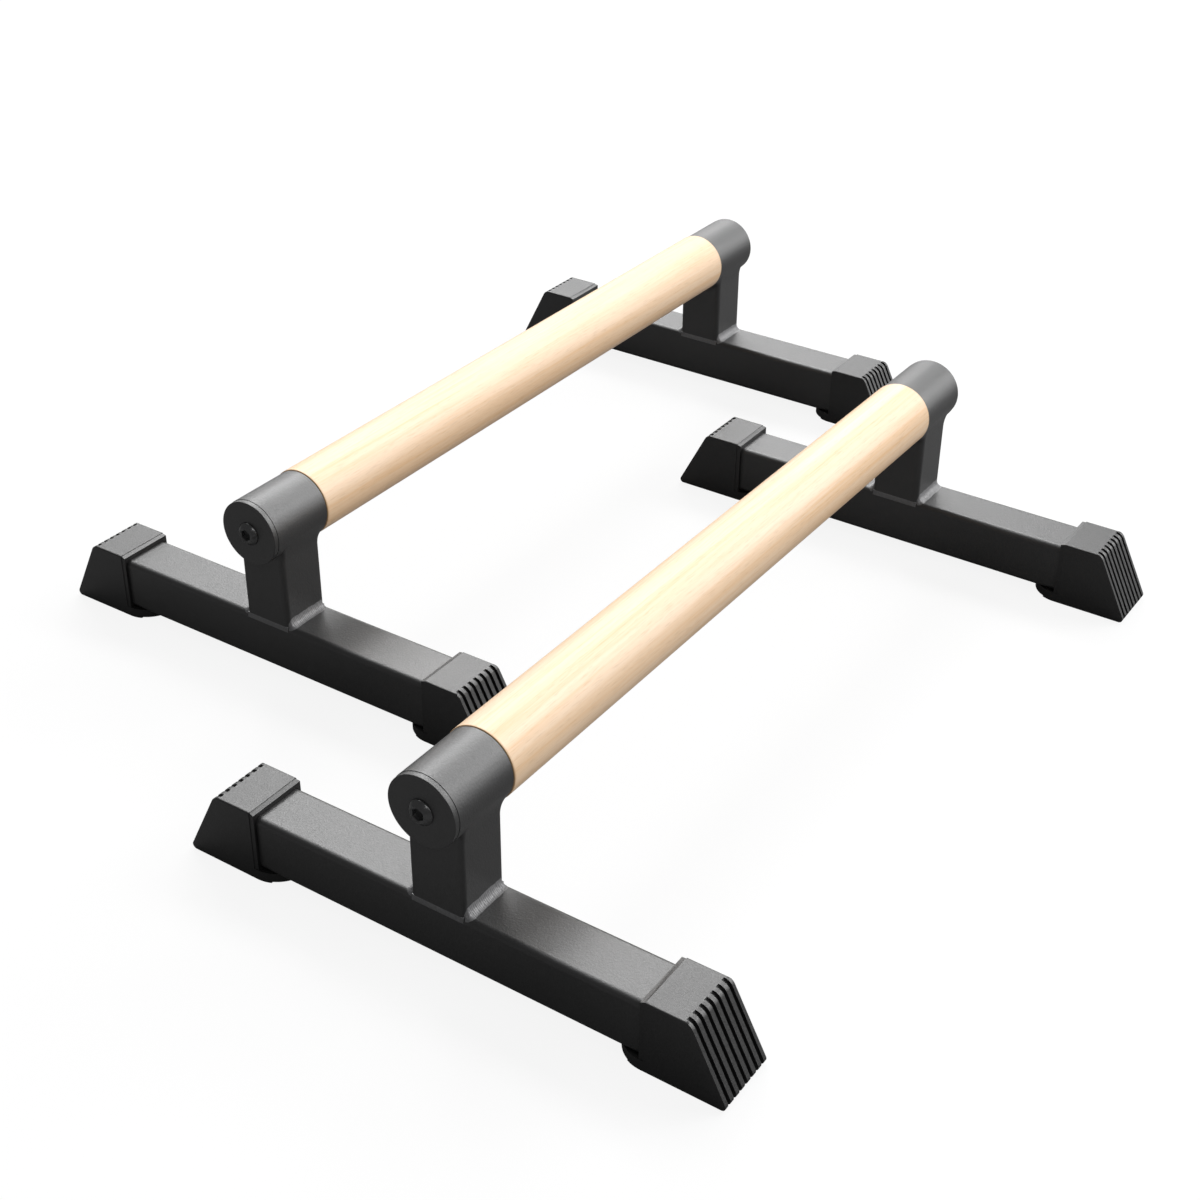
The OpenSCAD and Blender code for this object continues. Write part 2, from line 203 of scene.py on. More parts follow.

# %% [markdown]
# Every coated or moulded finish is then the same short recipe: the group gives colour,
# roughness and height, a Bump node turns the height into a normal, and the Principled shader
# adds them up. Only the numbers differ between paint, weld, rubber and screws. The weld's grey
# is set far lighter than the paint's, as painted sheen for the light that its ripples catch.
# The bolts' black oxide is a thin dark film on bare steel, so it is half metallic and smoother.

# %% Finishes of steel and rubber
def pebbled_finish(name, light, dark, roughness, spread, pebble_mm, mix, bump_mm, **principled):
    """A material that wears the pebbled skin, between a light and a dark colour."""
    made, tree, shader = new_material(name, **principled)
    skin = place_group(tree, pebbled_skin, Pebble_mm=pebble_mm, Pebble_Mix=mix,
                       Light=(*light, 1), Dark=(*dark, 1),
                       Roughness=roughness, Roughness_Spread=spread)
    bump = new_node(tree, "ShaderNodeBump", in_Strength=1.0, in_Distance=bump_mm * MM)
    wire(tree, [
        (skin.outputs["Color"], shader.inputs["Base Color"]),
        (skin.outputs["Roughness"], shader.inputs["Roughness"]),
        (skin.outputs["Height"], bump.inputs["Height"]),
        (bump.outputs["Normal"], shader.inputs["Normal"])])
    return made


powder_coat = pebbled_finish(
    "powder_coat", (0.0170, 0.0171, 0.0176), (0.0080, 0.0080, 0.0083),
    roughness=0.45, spread=0.16, pebble_mm=1.5, mix=0.75, bump_mm=0.12,
    Specular_IOR_Level=0.9)
# painted sheen: the weld's grey is far lighter than the paint's, standing for the light that its
# ripples catch
sheen_painted_weld_coat = pebbled_finish(
    "sheen_painted_weld_coat", (0.190, 0.190, 0.196), (0.060, 0.060, 0.062),
    roughness=0.46, spread=0.2, pebble_mm=1.2, mix=0.8, bump_mm=0.10,
    Specular_IOR_Level=0.9)
moulded_rubber = pebbled_finish(
    "moulded_rubber", (0.0070, 0.0070, 0.0073), (0.0025, 0.0025, 0.0026),
    roughness=0.44, spread=0.16, pebble_mm=1.5, mix=0.7, bump_mm=0.10,
    Specular_IOR_Level=0.74)
black_oxide = pebbled_finish(
    "black_oxide", (0.085, 0.085, 0.087), (0.050, 0.050, 0.051),
    roughness=0.20, spread=0.08, pebble_mm=0.9, mix=0.5, bump_mm=0.02,
    Metallic=0.5, Specular_IOR_Level=1.0)
zinc_plate = pebbled_finish(
    "zinc_plate", (0.62, 0.63, 0.65), (0.50, 0.51, 0.53),
    roughness=0.34, spread=0.15, pebble_mm=0.6, mix=0.5, bump_mm=0.01, Metallic=1.0)
pebbled = (powder_coat, sheen_painted_weld_coat, moulded_rubber, black_oxide, zinc_plate)
print("finishes", [finish.name for finish in pebbled])

# %% [markdown]
# Beech is pale and even, with long soft streaks along the grip and thousands of short darker
# flecks. Both come from noise that is squeezed across the grain and stretched along it. The
# grip runs along Y, so the coordinates are scaled down in Y before they reach the noise. Painted
# shade darkens a thin rim where the wood goes into a collar, by a mask of how far along the
# grip a point lies. A Wave texture could draw the grain too, but its lines are too even.

# %% Group: beech grain and painted shade rim
STREAK_SHARE = 0.55
BAND_SHARE = 0.45
tree, into, out = new_group(
    "beech_grain",
    [("Vector", VECTOR, None), ("Pale", COLOUR, None), ("Streak", COLOUR, None),
     ("Fleck", COLOUR, None), ("Streak Amount", FLOAT, 0.6), ("Fleck Amount", FLOAT, 0.5),
     ("Shoulder", FLOAT, 1.0), ("Rim Width", FLOAT, 0.001), ("Rim Amount", FLOAT, 0.5)],
    [("Color", COLOUR), ("Roughness", FLOAT), ("Height", FLOAT)])
along = new_node(tree, "ShaderNodeMapping", in_Scale=(1.0, 0.014, 1.0))
short = new_node(tree, "ShaderNodeMapping", in_Scale=(1.0, 0.07, 1.0))
streaks = new_node(tree, "ShaderNodeTexNoise", in_Scale=420.0, in_Detail=5.0, in_Roughness=0.66,
                   in_Distortion=0.05)
bands = new_node(tree, "ShaderNodeTexNoise", in_Scale=95.0, in_Detail=2.0, in_Roughness=0.5)
flecks = new_node(tree, "ShaderNodeTexNoise", in_Scale=1300.0, in_Detail=2.0, in_Roughness=0.5)
streak_range = new_node(tree, "ShaderNodeMapRange", in_1=0.42, in_2=0.66)
band_range = new_node(tree, "ShaderNodeMapRange", in_1=0.38, in_2=0.64)
fleck_range = new_node(tree, "ShaderNodeMapRange", in_1=0.54, in_2=0.72)
grain_mask = new_node(tree, "ShaderNodeMath", operation="MULTIPLY_ADD", in_1=STREAK_SHARE)
band_part = new_node(tree, "ShaderNodeMath", operation="MULTIPLY", in_1=BAND_SHARE)
streak_amount = new_node(tree, "ShaderNodeMath", operation="MULTIPLY")
fleck_amount = new_node(tree, "ShaderNodeMath", operation="MULTIPLY")
streaked = new_node(tree, "ShaderNodeMix", data_type="RGBA")
flecked = new_node(tree, "ShaderNodeMix", data_type="RGBA")
gloss = new_node(tree, "ShaderNodeMapRange", in_3=0.45, in_4=0.54)
pores = new_node(tree, "ShaderNodeMath", operation="SUBTRACT", in_0=1.0)
position = new_node(tree, "ShaderNodeSeparateXYZ")
from_middle = new_node(tree, "ShaderNodeMath", operation="ABSOLUTE")
# these rim nodes paint shade: a thin band where the wood goes into a collar is mixed towards the
# fleck colour
shade_rim_start = new_node(tree, "ShaderNodeMath", operation="SUBTRACT")
shade_rim_range = new_node(tree, "ShaderNodeMapRange")
shade_rim_amount = new_node(tree, "ShaderNodeMath", operation="MULTIPLY")
shade_rimmed = new_node(tree, "ShaderNodeMix", data_type="RGBA")
wire(tree, [
    (into.outputs["Vector"], along.inputs[0]),
    (into.outputs["Vector"], short.inputs[0]),
    (along.outputs[0], streaks.inputs["Vector"]),
    (along.outputs[0], bands.inputs["Vector"]),
    (short.outputs[0], flecks.inputs["Vector"]),
    (streaks.outputs[0], streak_range.inputs[0]),
    (bands.outputs[0], band_range.inputs[0]),
    (flecks.outputs[0], fleck_range.inputs[0]),
    (band_range.outputs[0], band_part.inputs[0]),
    (streak_range.outputs[0], grain_mask.inputs[0]),
    (band_part.outputs[0], grain_mask.inputs[2]),
    (grain_mask.outputs[0], streak_amount.inputs[0]),
    (into.outputs["Streak Amount"], streak_amount.inputs[1]),
    (fleck_range.outputs[0], fleck_amount.inputs[0]),
    (into.outputs["Fleck Amount"], fleck_amount.inputs[1]),
    (streak_amount.outputs[0], streaked.inputs[0]),
    (into.outputs["Pale"], streaked.inputs[6]),
    (into.outputs["Streak"], streaked.inputs[7]),
    (fleck_amount.outputs[0], flecked.inputs[0]),
    (streaked.outputs[2], flecked.inputs[6]),
    (into.outputs["Fleck"], flecked.inputs[7]),
    (into.outputs["Vector"], position.inputs[0]),
    (position.outputs["Y"], from_middle.inputs[0]),
    (into.outputs["Shoulder"], shade_rim_start.inputs[0]),
    (into.outputs["Rim Width"], shade_rim_start.inputs[1]),
    (from_middle.outputs[0], shade_rim_range.inputs[0]),
    (shade_rim_start.outputs[0], shade_rim_range.inputs[1]),
    (into.outputs["Shoulder"], shade_rim_range.inputs[2]),
    (shade_rim_range.outputs[0], shade_rim_amount.inputs[0]),
    (into.outputs["Rim Amount"], shade_rim_amount.inputs[1]),
    (shade_rim_amount.outputs[0], shade_rimmed.inputs[0]),
    (flecked.outputs[2], shade_rimmed.inputs[6]),
    (into.outputs["Fleck"], shade_rimmed.inputs[7]),
    (shade_rimmed.outputs[2], out.inputs["Color"]),
    (grain_mask.outputs[0], gloss.inputs[0]),
    (gloss.outputs[0], out.inputs["Roughness"]),
    (fleck_amount.outputs[0], pores.inputs[1]),
    (pores.outputs[0], out.inputs["Height"])])
beech_grain = tree
print("group", beech_grain.name, len(beech_grain.nodes), "nodes")

# %% [markdown]
# Oil brings out the colours of beech and leaves a silky gloss, so the shader reflects more
# than raw wood does. The place of the painted shade rim isn't typed in: it is the distance
# from the grip's middle to the mouth of a collar, read from the boxes of the solids.

# %% Oiled beech
# width of the painted shade rim where the grip goes into a collar
SHADE_RIM_WIDTH = 1.6 * MM
PORE_DEPTH = 0.04 * MM
grip_middle = sum(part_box("right_grip"), Vector()) / 2
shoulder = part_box("right_back_collar")[0].y - grip_middle.y
beech, tree, shader = new_material("oiled_beech", Specular_IOR_Level=0.8)
# the rim values below set the painted shade where the grip goes into its collars
grain = place_group(tree, beech_grain, Pale=(0.77, 0.575, 0.40, 1), Streak=(0.70, 0.43, 0.21, 1),
                    Fleck=(0.48, 0.29, 0.14, 1), Streak_Amount=0.8, Fleck_Amount=0.3,
                    Shoulder=shoulder, Rim_Width=SHADE_RIM_WIDTH, Rim_Amount=0.9)
bump = new_node(tree, "ShaderNodeBump", in_Strength=1.0, in_Distance=PORE_DEPTH)
wire(tree, [
    (grain.outputs["Color"], shader.inputs["Base Color"]),
    (grain.outputs["Roughness"], shader.inputs["Roughness"]),
    (grain.outputs["Height"], bump.inputs["Height"]),
    (bump.outputs["Normal"], shader.inputs["Normal"])])
print("beech", beech.name, "with its rim", round(shoulder / MM, 1), "mm from the middle")

# %% [markdown]
# The tubes and the small hidden pieces are right as the frame has them, so they keep their
# solids and only take their finish. A solid's material is changed in its own slot.

# %% Paint the solids
FINISHES = {"_foot_tube": powder_coat, "_upright": powder_coat, "_collar": powder_coat,
            "_end_disc": powder_coat, "_base_weld": sheen_painted_weld_coat, "_collar_weld": powder_coat,
            "_foot": moulded_rubber, "_bolt": black_oxide, "_insert": zinc_plate,
            "_foot_screws": zinc_plate, "_grip": beech}
for name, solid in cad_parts.items():
    ending = next(e for e in FINISHES if name.endswith(e))
    solid.data.materials.clear()
    solid.data.materials.append(FINISHES[ending])
print("painted", len(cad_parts), "solids")

# %% [markdown]
# Every new piece is finished in the same way. Its mesh is shaded smooth, with a crease where
# two faces meet too steeply, and takes its material. Weighted normals then keep the broad
# faces flat right up to their eased edges, which a subdivision surface would do as well, but
# with many more faces. Last, it joins the frame's body and the solid it stands for is hidden.

# %% Fitting a piece
def mesh_from(work, name, crease):
    """Turns a bmesh into a mesh, creased where faces meet at more than so many degrees."""
    mesh = bpy.data.meshes.new(name)
    work.to_mesh(mesh)
    work.free()
    mesh.shade_smooth()
    mesh.set_sharp_from_angle(angle=math.radians(crease))
    return mesh


def fit_piece(mesh, node, material, place=None):
    """A new piece in the scene, which stands for a solid and rides with it."""
    mesh.materials.append(material)
    if place is not None:
        mesh.transform(place)
    piece = bpy.data.objects.new(mesh.name, mesh)
    bpy.context.scene.collection.objects.link(piece)
    weighted = piece.modifiers.new("even_normals", "WEIGHTED_NORMAL")
    weighted.keep_sharp = True
    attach(piece, "root")
    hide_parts(node)
    return piece


print("a new piece can stand for any of", len(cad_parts), "solids")

# %% [markdown]
# Real edges are never knife sharp: a mould rounds them, and that thin rounding is what catches
# the light. The rubber foot is copied from its solid, its triangles are dissolved back into
# clean faces, and its outer edges are bevelled by about half a millimetre. Its grooves are
# opened to their rounded crests and start nearer the tread than the solid's. A foot could also
# be drawn anew, but a copy keeps every size of the solid without a word about it.

# %% Rubber feet
EDGE_ROUND = 0.55 * MM
EDGE_STEPS = 3
SAME_POINT = 0.002 * MM
FLAT_ANGLE = math.radians(1.0)
EDGE_ANGLE = math.radians(24)
FINE_LINE = 0.7 * MM
FOOT_CREASE = 32
GROOVES = 7
GROOVE_PITCH = 6.1333 * MM
GROOVE_CUT = 2.2 * MM
GROOVE_WORN = 2.9 * MM
GROOVE_SHORTER = 1.9 * MM
NEAR = 0.05 * MM
ON_TOP = 0.01 * MM


def open_grooves(work, low, high):
    """Widens the tread's grooves to their rounded crests, and starts them nearer the tread."""
    middle = (low[1] + high[1]) / 2
    walls = []
    for vert in work.verts:
        for k in range(GROOVES):
            centre = middle + (k - (GROOVES - 1) / 2) * GROOVE_PITCH
            off = vert.co.y - centre
            if abs(abs(off) - GROOVE_CUT / 2) < NEAR:
                vert.co.y = centre + math.copysign(GROOVE_WORN / 2, off)
                walls.append(vert)
    mean_x = sum(vert.co.x for vert in walls) / len(walls)
    outward = math.copysign(1, mean_x - (low[0] + high[0]) / 2)
    tops = [vert for vert in walls if high[2] - vert.co.z < ON_TOP]
    start = min(outward * vert.co.x for vert in tops)
    for vert in tops:
        if outward * vert.co.x < start + NEAR:
            vert.co.x += outward * GROOVE_SHORTER


def rubber_foot(node):
    """A copy of a foot's solid with opened grooves and rounded outer edges."""
    work = bmesh.new()
    work.from_mesh(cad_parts[node].data)
    bmesh.ops.remove_doubles(work, verts=work.verts, dist=SAME_POINT)
    bmesh.ops.dissolve_limit(work, angle_limit=FLAT_ANGLE, verts=work.verts, edges=work.edges)
    open_grooves(work, *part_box(node))
    outer = [edge for edge in work.edges
             if len(edge.link_faces) == 2 and edge.is_convex
             and edge.calc_face_angle() > EDGE_ANGLE and edge.calc_length() > FINE_LINE]
    bmesh.ops.bevel(work, geom=outer, offset=EDGE_ROUND, segments=EDGE_STEPS, affect="EDGES",
                    profile=0.5, clamp_overlap=True, offset_type="OFFSET")
    mesh = mesh_from(work, node.replace("_foot", "_rubber_foot"), FOOT_CREASE)
    return fit_piece(mesh, node, moulded_rubber)


feet = [rubber_foot(f"{bar}_{end}_{side}_foot") for bar, end in STANDS for side in SIDES]
print("feet", len(feet), "each of", len(feet[0].data.polygons), "faces")

# %% [markdown]
# The grip, its collars, end discs and bolts are all round about one axis, as if they came off
# one lathe, so they are made in one way: rings of points about the grip's axis, joined into a
# skin. A Screw modifier could spin a drawn profile too, but rings of our own also let a ring
# be a hexagon, which the bolt's socket needs. Sharp corners are eased by a short curve.

# %% Lathe work
STEPS_ROUND = 144
TURNED_CREASE = 35


def eased(outline, radii, steps=5):
    """An outline of (out, along) points whose corners are rounded, each by its own radius."""
    points = []
    for i, corner in enumerate(outline):
        if not radii[i]:
            points.append(corner)
            continue
        here = Vector(corner)
        a = here + (Vector(outline[i - 1]) - here).normalized() * radii[i]
        b = here + (Vector(outline[(i + 1) % len(outline)]) - here).normalized() * radii[i]
        for k in range(steps + 1):
            t = k / steps
            points.append(tuple((1 - t) ** 2 * a + 2 * t * (1 - t) * here + t * t * b))
    return points


def hexagon(flats, angle):
    """Distance from the middle of a hexagon to its outline, for a width across its flats."""
    return flats / 2 / math.cos((angle + math.pi / 6) % (math.pi / 3) - math.pi / 6)


def spun(name, rings, closed=False):
    """A mesh about the Y axis, from rings given as (out, along); out may depend on the angle."""
    work = bmesh.new()
    loops = []
    for out, along in rings:
        if out == 0:
            loops.append([work.verts.new((0, along, 0))] * STEPS_ROUND)
            continue
        loop = []
        for k in range(STEPS_ROUND):
            angle = 2 * math.pi * k / STEPS_ROUND
            r = out(angle) if callable(out) else out
            loop.append(work.verts.new((r * math.cos(angle), along, r * math.sin(angle))))
        loops.append(loop)
    pairs = list(zip(loops, loops[1:] + loops[:1]))
    for a, b in pairs if closed else pairs[:-1]:
        for k in range(STEPS_ROUND):
            after = (k + 1) % STEPS_ROUND
            corners = [a[k], a[after], b[after], b[k]]
            work.faces.new(list(dict.fromkeys(corners)))
    bmesh.ops.recalc_face_normals(work, faces=work.faces)
    return mesh_from(work, name, TURNED_CREASE)


print("turned pieces have", STEPS_ROUND, "points round each ring")

# %% [markdown]
# Where each turned piece goes is read from the boxes of the solids: the grip's box gives the
# axis, and the boxes of the pieces at its ends say how far out they reach. A piece for an end
# is made once, mostly as for the back one with +Y outwards, and turned by half a turn for the
# other end.

# %% Places of the turned pieces
COLLAR_WALL = 3.0 * MM
SHOULDER_STEP = 3.8 * MM
BOLT_D = 10.0 * MM
BOLT_PLAY = 0.5 * MM


def radius(node):
    """Radius of a turned solid, from the height of its box."""
    low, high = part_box(node)
    return (high[2] - low[2]) / 2


def axis_point(bar):
    """The middle of a grip's axis."""
    low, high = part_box(f"{bar}_grip")
    return (Vector(low) + Vector(high)) / 2


def reach(node, bar):
    """How far from the grip's middle a solid starts and ends, along the grip."""
    low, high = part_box(node)
    ends = sorted(abs(y - axis_point(bar).y) for y in (low[1], high[1]))
    return ends[0], ends[1]


def end_place(bar, end, outwards="back"):
    """Puts what was made about the origin, with its outside to the back or front, at an end."""
    turn = Matrix.Rotation(0 if end == outwards else math.pi, 4, "Z")
    return Matrix.Translation(axis_point(bar)) @ turn


for bar in BARS:
    print(bar, "axis at", [round(v, 4) for v in axis_point(bar)],
          "radius", round(radius(f"{bar}_grip") / MM, 2), "mm")

# %% [markdown]
# The grip itself is a bar turned down at both ends. Its shoulders are eased by sandpaper, and
# its ends are bored for the threaded inserts. The second grip is rolled a quarter turn about
# its axis, so that no two grips show the same side of the board they were cut from.

# %% Grips
GRIP_EASE = 0.8 * MM
BORE_SPARE = 2.0 * MM
ROLL_OF_GRIP = {"right": 0.0, "left": math.pi / 2}


def grip_mesh(bar):
    """The turned beech bar about the Y axis, with its spigots and bores."""
    r = radius(f"{bar}_grip")
    spigot = r - SHOULDER_STEP
    shoulder = reach(f"{bar}_back_collar", bar)[0]
    spigot_end = reach(f"{bar}_back_insert", bar)[1]
    insert_end = reach(f"{bar}_back_insert", bar)[0]
    bore_end = reach(f"{bar}_back_bolt", bar)[0] - BORE_SPARE
    insert_r = radius(f"{bar}_back_insert")
    bore_r = BOLT_D / 2 + BOLT_PLAY
    outer = [(r, shoulder), (spigot, shoulder), (spigot, spigot_end)]
    inner = [(insert_r, spigot_end), (insert_r, insert_end), (bore_r, insert_end),
             (bore_r, bore_end), (0, bore_end)]
    outline = [(x, -y) for x, y in reversed(outer)] + outer
    outline = [(insert_r, -spigot_end)] + outline + [(insert_r, spigot_end)]
    radii = [0, GRIP_EASE, 0, GRIP_EASE, GRIP_EASE, 0, GRIP_EASE, 0]
    low_bore = [(x, -y) for x, y in reversed(inner[1:])]
    return spun(f"{bar}_beech_grip", low_bore + eased(outline, radii) + inner[1:])


for bar in BARS:
    grip = fit_piece(grip_mesh(bar), f"{bar}_grip", beech)
    rolled = Matrix.Rotation(ROLL_OF_GRIP[bar], 4, "Y")
    grip.matrix_world = Matrix.Translation(axis_point(bar)) @ rolled
    print(grip.name, len(grip.data.polygons), "faces")

# %% [markdown]
# The collar is a stub of thick round tube and the end disc a plate that closes it. They are
# two pieces, and where they meet their edges are eased by so little that only a hairline of
# shadow is left. Their free edges are rounded by the coat of paint, by about half a millimetre.

# %% Collars and end discs
PAINTED_EDGE = 0.45 * MM
SEAM_EDGE = 0.09 * MM
DISC_EDGE = 0.6 * MM


def ring_mesh(name, inner, outer, start, stop, edge_in, edge_out):
    """A ring of rectangular section about the Y axis, its outer edges eased."""
    outline = [(inner, start), (outer, start), (outer, stop), (inner, stop)]
    return spun(name, eased(outline, [0, edge_in, edge_out, 0]), closed=True)


for bar, end in STANDS:
    stand = f"{bar}_{end}"
    r = radius(f"{stand}_collar")
    collar = ring_mesh(f"{stand}_round_collar", r - COLLAR_WALL, r,
                       *reach(f"{stand}_collar", bar), PAINTED_EDGE, SEAM_EDGE)
    fit_piece(collar, f"{stand}_collar", powder_coat, end_place(bar, end))
    disc = ring_mesh(f"{stand}_plate_disc", BOLT_D / 2 + BOLT_PLAY,
                     radius(f"{stand}_end_disc"), *reach(f"{stand}_end_disc", bar),
                     SEAM_EDGE, DISC_EDGE)
    fit_piece(disc, f"{stand}_end_disc", powder_coat, end_place(bar, end))
print("collars and discs", len(STANDS), "of each, collars", round(2 * r / MM, 1), "mm across")

# %% [markdown]
# The bolt is a button head cap screw: a low dome, flat on top, with a hexagon socket pressed
# into it. The mouth of the socket is chamfered round, and that chamfer is the bright ring
# that a black bolt shows. The rings run from the bottom of the socket out over the dome.

# %% Grip bolts
SOCKET_FLATS = 7.6 * MM
SOCKET_DEPTH = 3.5 * MM
SOCKET_MOUTH = 0.7 * MM
HEAD_HEIGHT = 3.9 * MM
HEAD_RIM = 0.7 * MM
HEAD_FLAT = 0.62
HEAD_EASE = 0.2 * MM
DRILL_POINT = 0.8 * MM
TIP_CHAMFER = 1.0 * MM
DOME_STEPS = 14


def bolt_mesh(bar, stand):
    """A button head bolt about the Y axis, head outwards."""
    r = radius(f"{stand}_bolt")
    seat = reach(f"{stand}_end_disc", bar)[1]
    tip = reach(f"{stand}_bolt", bar)[0]
    top = seat + HEAD_HEIGHT
    flat = r * HEAD_FLAT
    mouth = SOCKET_FLATS / math.sqrt(3) + SOCKET_MOUTH
    high, low = top - seat, HEAD_RIM
    middle = (r * r - flat * flat + low * low - high * high) / (2 * (low - high))
    dome_r = math.hypot(r, low - middle)
    angles = np.linspace(math.atan2(high - middle, flat), math.atan2(low - middle, r), DOME_STEPS)
    dome = [(dome_r * math.cos(a), seat + middle + dome_r * math.sin(a)) for a in angles]

    def socket(angle):
        return hexagon(SOCKET_FLATS, angle)

    rings = [(0, top - SOCKET_DEPTH - DRILL_POINT), (socket, top - SOCKET_DEPTH),
             (socket, top - SOCKET_MOUTH), (mouth, top)] + dome
    rings += [(r, seat + HEAD_EASE), (r - HEAD_EASE, seat), (BOLT_D / 2, seat),
              (BOLT_D / 2, tip + TIP_CHAMFER), (BOLT_D / 2 - TIP_CHAMFER, tip), (0, tip)]
    return spun(f"{stand}_button_bolt", rings)


for bar, end in STANDS:
    stand = f"{bar}_{end}"
    bolt = fit_piece(bolt_mesh(bar, stand), f"{stand}_bolt", black_oxide,
                     end_place(bar, end))
print("bolts", len(STANDS), "each of", len(bolt.data.polygons), "faces")

# %% [markdown]
# A fillet weld is a string of frozen ripples. The one at the foot of each upright is the only
# bright, rough spot on the stand, so it gets a skin of its own: a hollow cross-section swept
# along the joint and round the upright's corners, pushed in and out by ripples and by noise.
# Bump alone would leave its silhouette too clean where it shows against the floor. First come
# the path that the bead follows, the noise, and the way to join cross-sections into a skin.

# %% Path and skin of a weld
TUBE_CORNER = 4.0 * MM
BEAD_WRAP = math.radians(40)
SEED_SHIFTS = (7.3, 3.1, 5.7)


def lumps(point, size, seed):
    """Smooth noise between -1 and 1 at a point, for lumps of a given size."""
    return noise.noise(Vector(point) / size + Vector([seed * shift for shift in SEED_SHIFTS]))


def upright_corner_path(half, steps):
    """Points and outward directions along an upright's side and round both its corners."""
    flat = half - TUBE_CORNER
    arc_len = TUBE_CORNER * BEAD_WRAP
    total = 2 * (flat + arc_len)
    for k in range(steps + 1):
        s = -total / 2 + total * k / steps
        beyond = max(0.0, abs(s) - flat) / TUBE_CORNER
        side = math.copysign(1, s)
        out = Vector((math.cos(beyond), side * math.sin(beyond), 0))
        centre = Vector((flat, side * flat if beyond else s, 0))
        yield s, centre + out * TUBE_CORNER, out, beyond / BEAD_WRAP


def tube_drop(y, half):
    """How far the foot tube's rounded top edge has fallen away at a place across the tube."""
    over = min(max(0.0, abs(y) - (half - TUBE_CORNER)), TUBE_CORNER)
    return TUBE_CORNER - math.sqrt(TUBE_CORNER ** 2 - over ** 2)


def skin_loops(work, loops):
    """Joins closed loops of equal length into a skin, with a cap at either end."""
    count = len(loops[0])
    for a, b in zip(loops, loops[1:]):
        for k in range(count):
            work.faces.new((a[k], b[k], b[(k + 1) % count], a[(k + 1) % count]))
    work.faces.new(list(reversed(loops[0])))
    work.faces.new(loops[-1])


print("a bead turns", round(math.degrees(BEAD_WRAP)), "degrees round each corner")

# %% [markdown]
# The bead's own section is a hollow curve from the tube's top to the upright's face. A welder
# lays it drop by drop, so the ripples bow across it, and its width and height wander slowly.
# The three noises are read from rows of their own, so that they don't rise and fall together.

# %% Base welds
BEAD_HOLLOW = 0.16
BEAD_TAPER = 0.72
TAPER_POWER = 1.5
RIPPLE_PITCH = 1.5 * MM
RIPPLE_DEPTH = 0.07 * MM
RIPPLE_BOW = 1.6
RIPPLE_SHIFT = 2.0
RIPPLE_WAVE = 3 * MM
LUMP_DEPTH = 0.20 * MM
LUMP_SIZE = 1.6 * MM
WIDTH_WANDER = 0.10
WIDTH_WAVE = 5 * MM
HEIGHT_WANDER = 0.14
HEIGHT_WAVE = 4 * MM
WIDTH_ROW, HEIGHT_ROW, RIPPLE_ROW = 0, 0.1, 0.2
BEAD_STEPS = 170
SECTION_STEPS = 14
EMBED = 0.8 * MM


def bead_side(work, half, width, height, seed):
    """One bead along the +X side of an upright whose middle is the origin."""
    loops = []
    for s, foot, out, wrapped in upright_corner_path(half, BEAD_STEPS):
        size = 1.0 - BEAD_TAPER * wrapped ** TAPER_POWER
        w = width * size * (1 + WIDTH_WANDER * lumps((s, 0, WIDTH_ROW), WIDTH_WAVE, seed))
        h = height * size * (1 + HEIGHT_WANDER * lumps((s, 0, HEIGHT_ROW), HEIGHT_WAVE, seed))
        loop = []
        for j in range(SECTION_STEPS + 1):
            t = j / SECTION_STEPS
            a = (1 - t) ** 2 + t * (1 - t) * BEAD_HOLLOW
            b = t * t + t * (1 - t) * BEAD_HOLLOW
            point = foot + out * w * a + Vector((0, 0, h * b))
            bow = RIPPLE_BOW * (t - 0.5) ** 2
            ripple = math.cos(2 * math.pi * (s / RIPPLE_PITCH + bow)
                              + RIPPLE_SHIFT * lumps((s, 0, RIPPLE_ROW), RIPPLE_WAVE, seed))
            push = RIPPLE_DEPTH * ripple + LUMP_DEPTH * lumps(point, LUMP_SIZE, seed)
            point += (out + Vector((0, 0, 1))).normalized() * push * math.sin(math.pi * t) ** 0.5
            point.z -= tube_drop(point.y, half) * (1 - t)
            loop.append(point)
        loop.append(foot - out * EMBED + Vector((0, 0, h)))
        loop.append(foot - out * EMBED - Vector((0, 0, EMBED + tube_drop(foot.y, half))))
        loop.append(foot + out * w - Vector((0, 0, EMBED + tube_drop(foot.y + out.y * w, half))))
        loops.append([work.verts.new(p) for p in loop])
    skin_loops(work, loops)


print("a bead has a ripple every", round(RIPPLE_PITCH / MM, 2), "mm")

# %% [markdown]
# At the upright's front and back there is no step to fill, only the groove between its flat
# face and the tube's round edge. The weld there is ground nearly flush, with a low, uneven
# skin. Both kinds are made about the middle of the tube's top and then moved to the stand.

# %% Flush welds and fitting
FLUSH_STEPS = 85
FLUSH_REACH = 0.8
FLUSH_SUNK = 0.1 * MM
FLUSH_RISE = 0.3 * MM
FLUSH_PROUD = 0.12 * MM
FLUSH_LUMPS = 0.16 * MM
FLUSH_LUMP_SIZE = 2.2 * MM
FLUSH_LOW = 0.8
FLUSH_HIGH = 0.2
ARC_POINTS = 7
SECOND_BEAD = 11
WELD_CREASE = 60


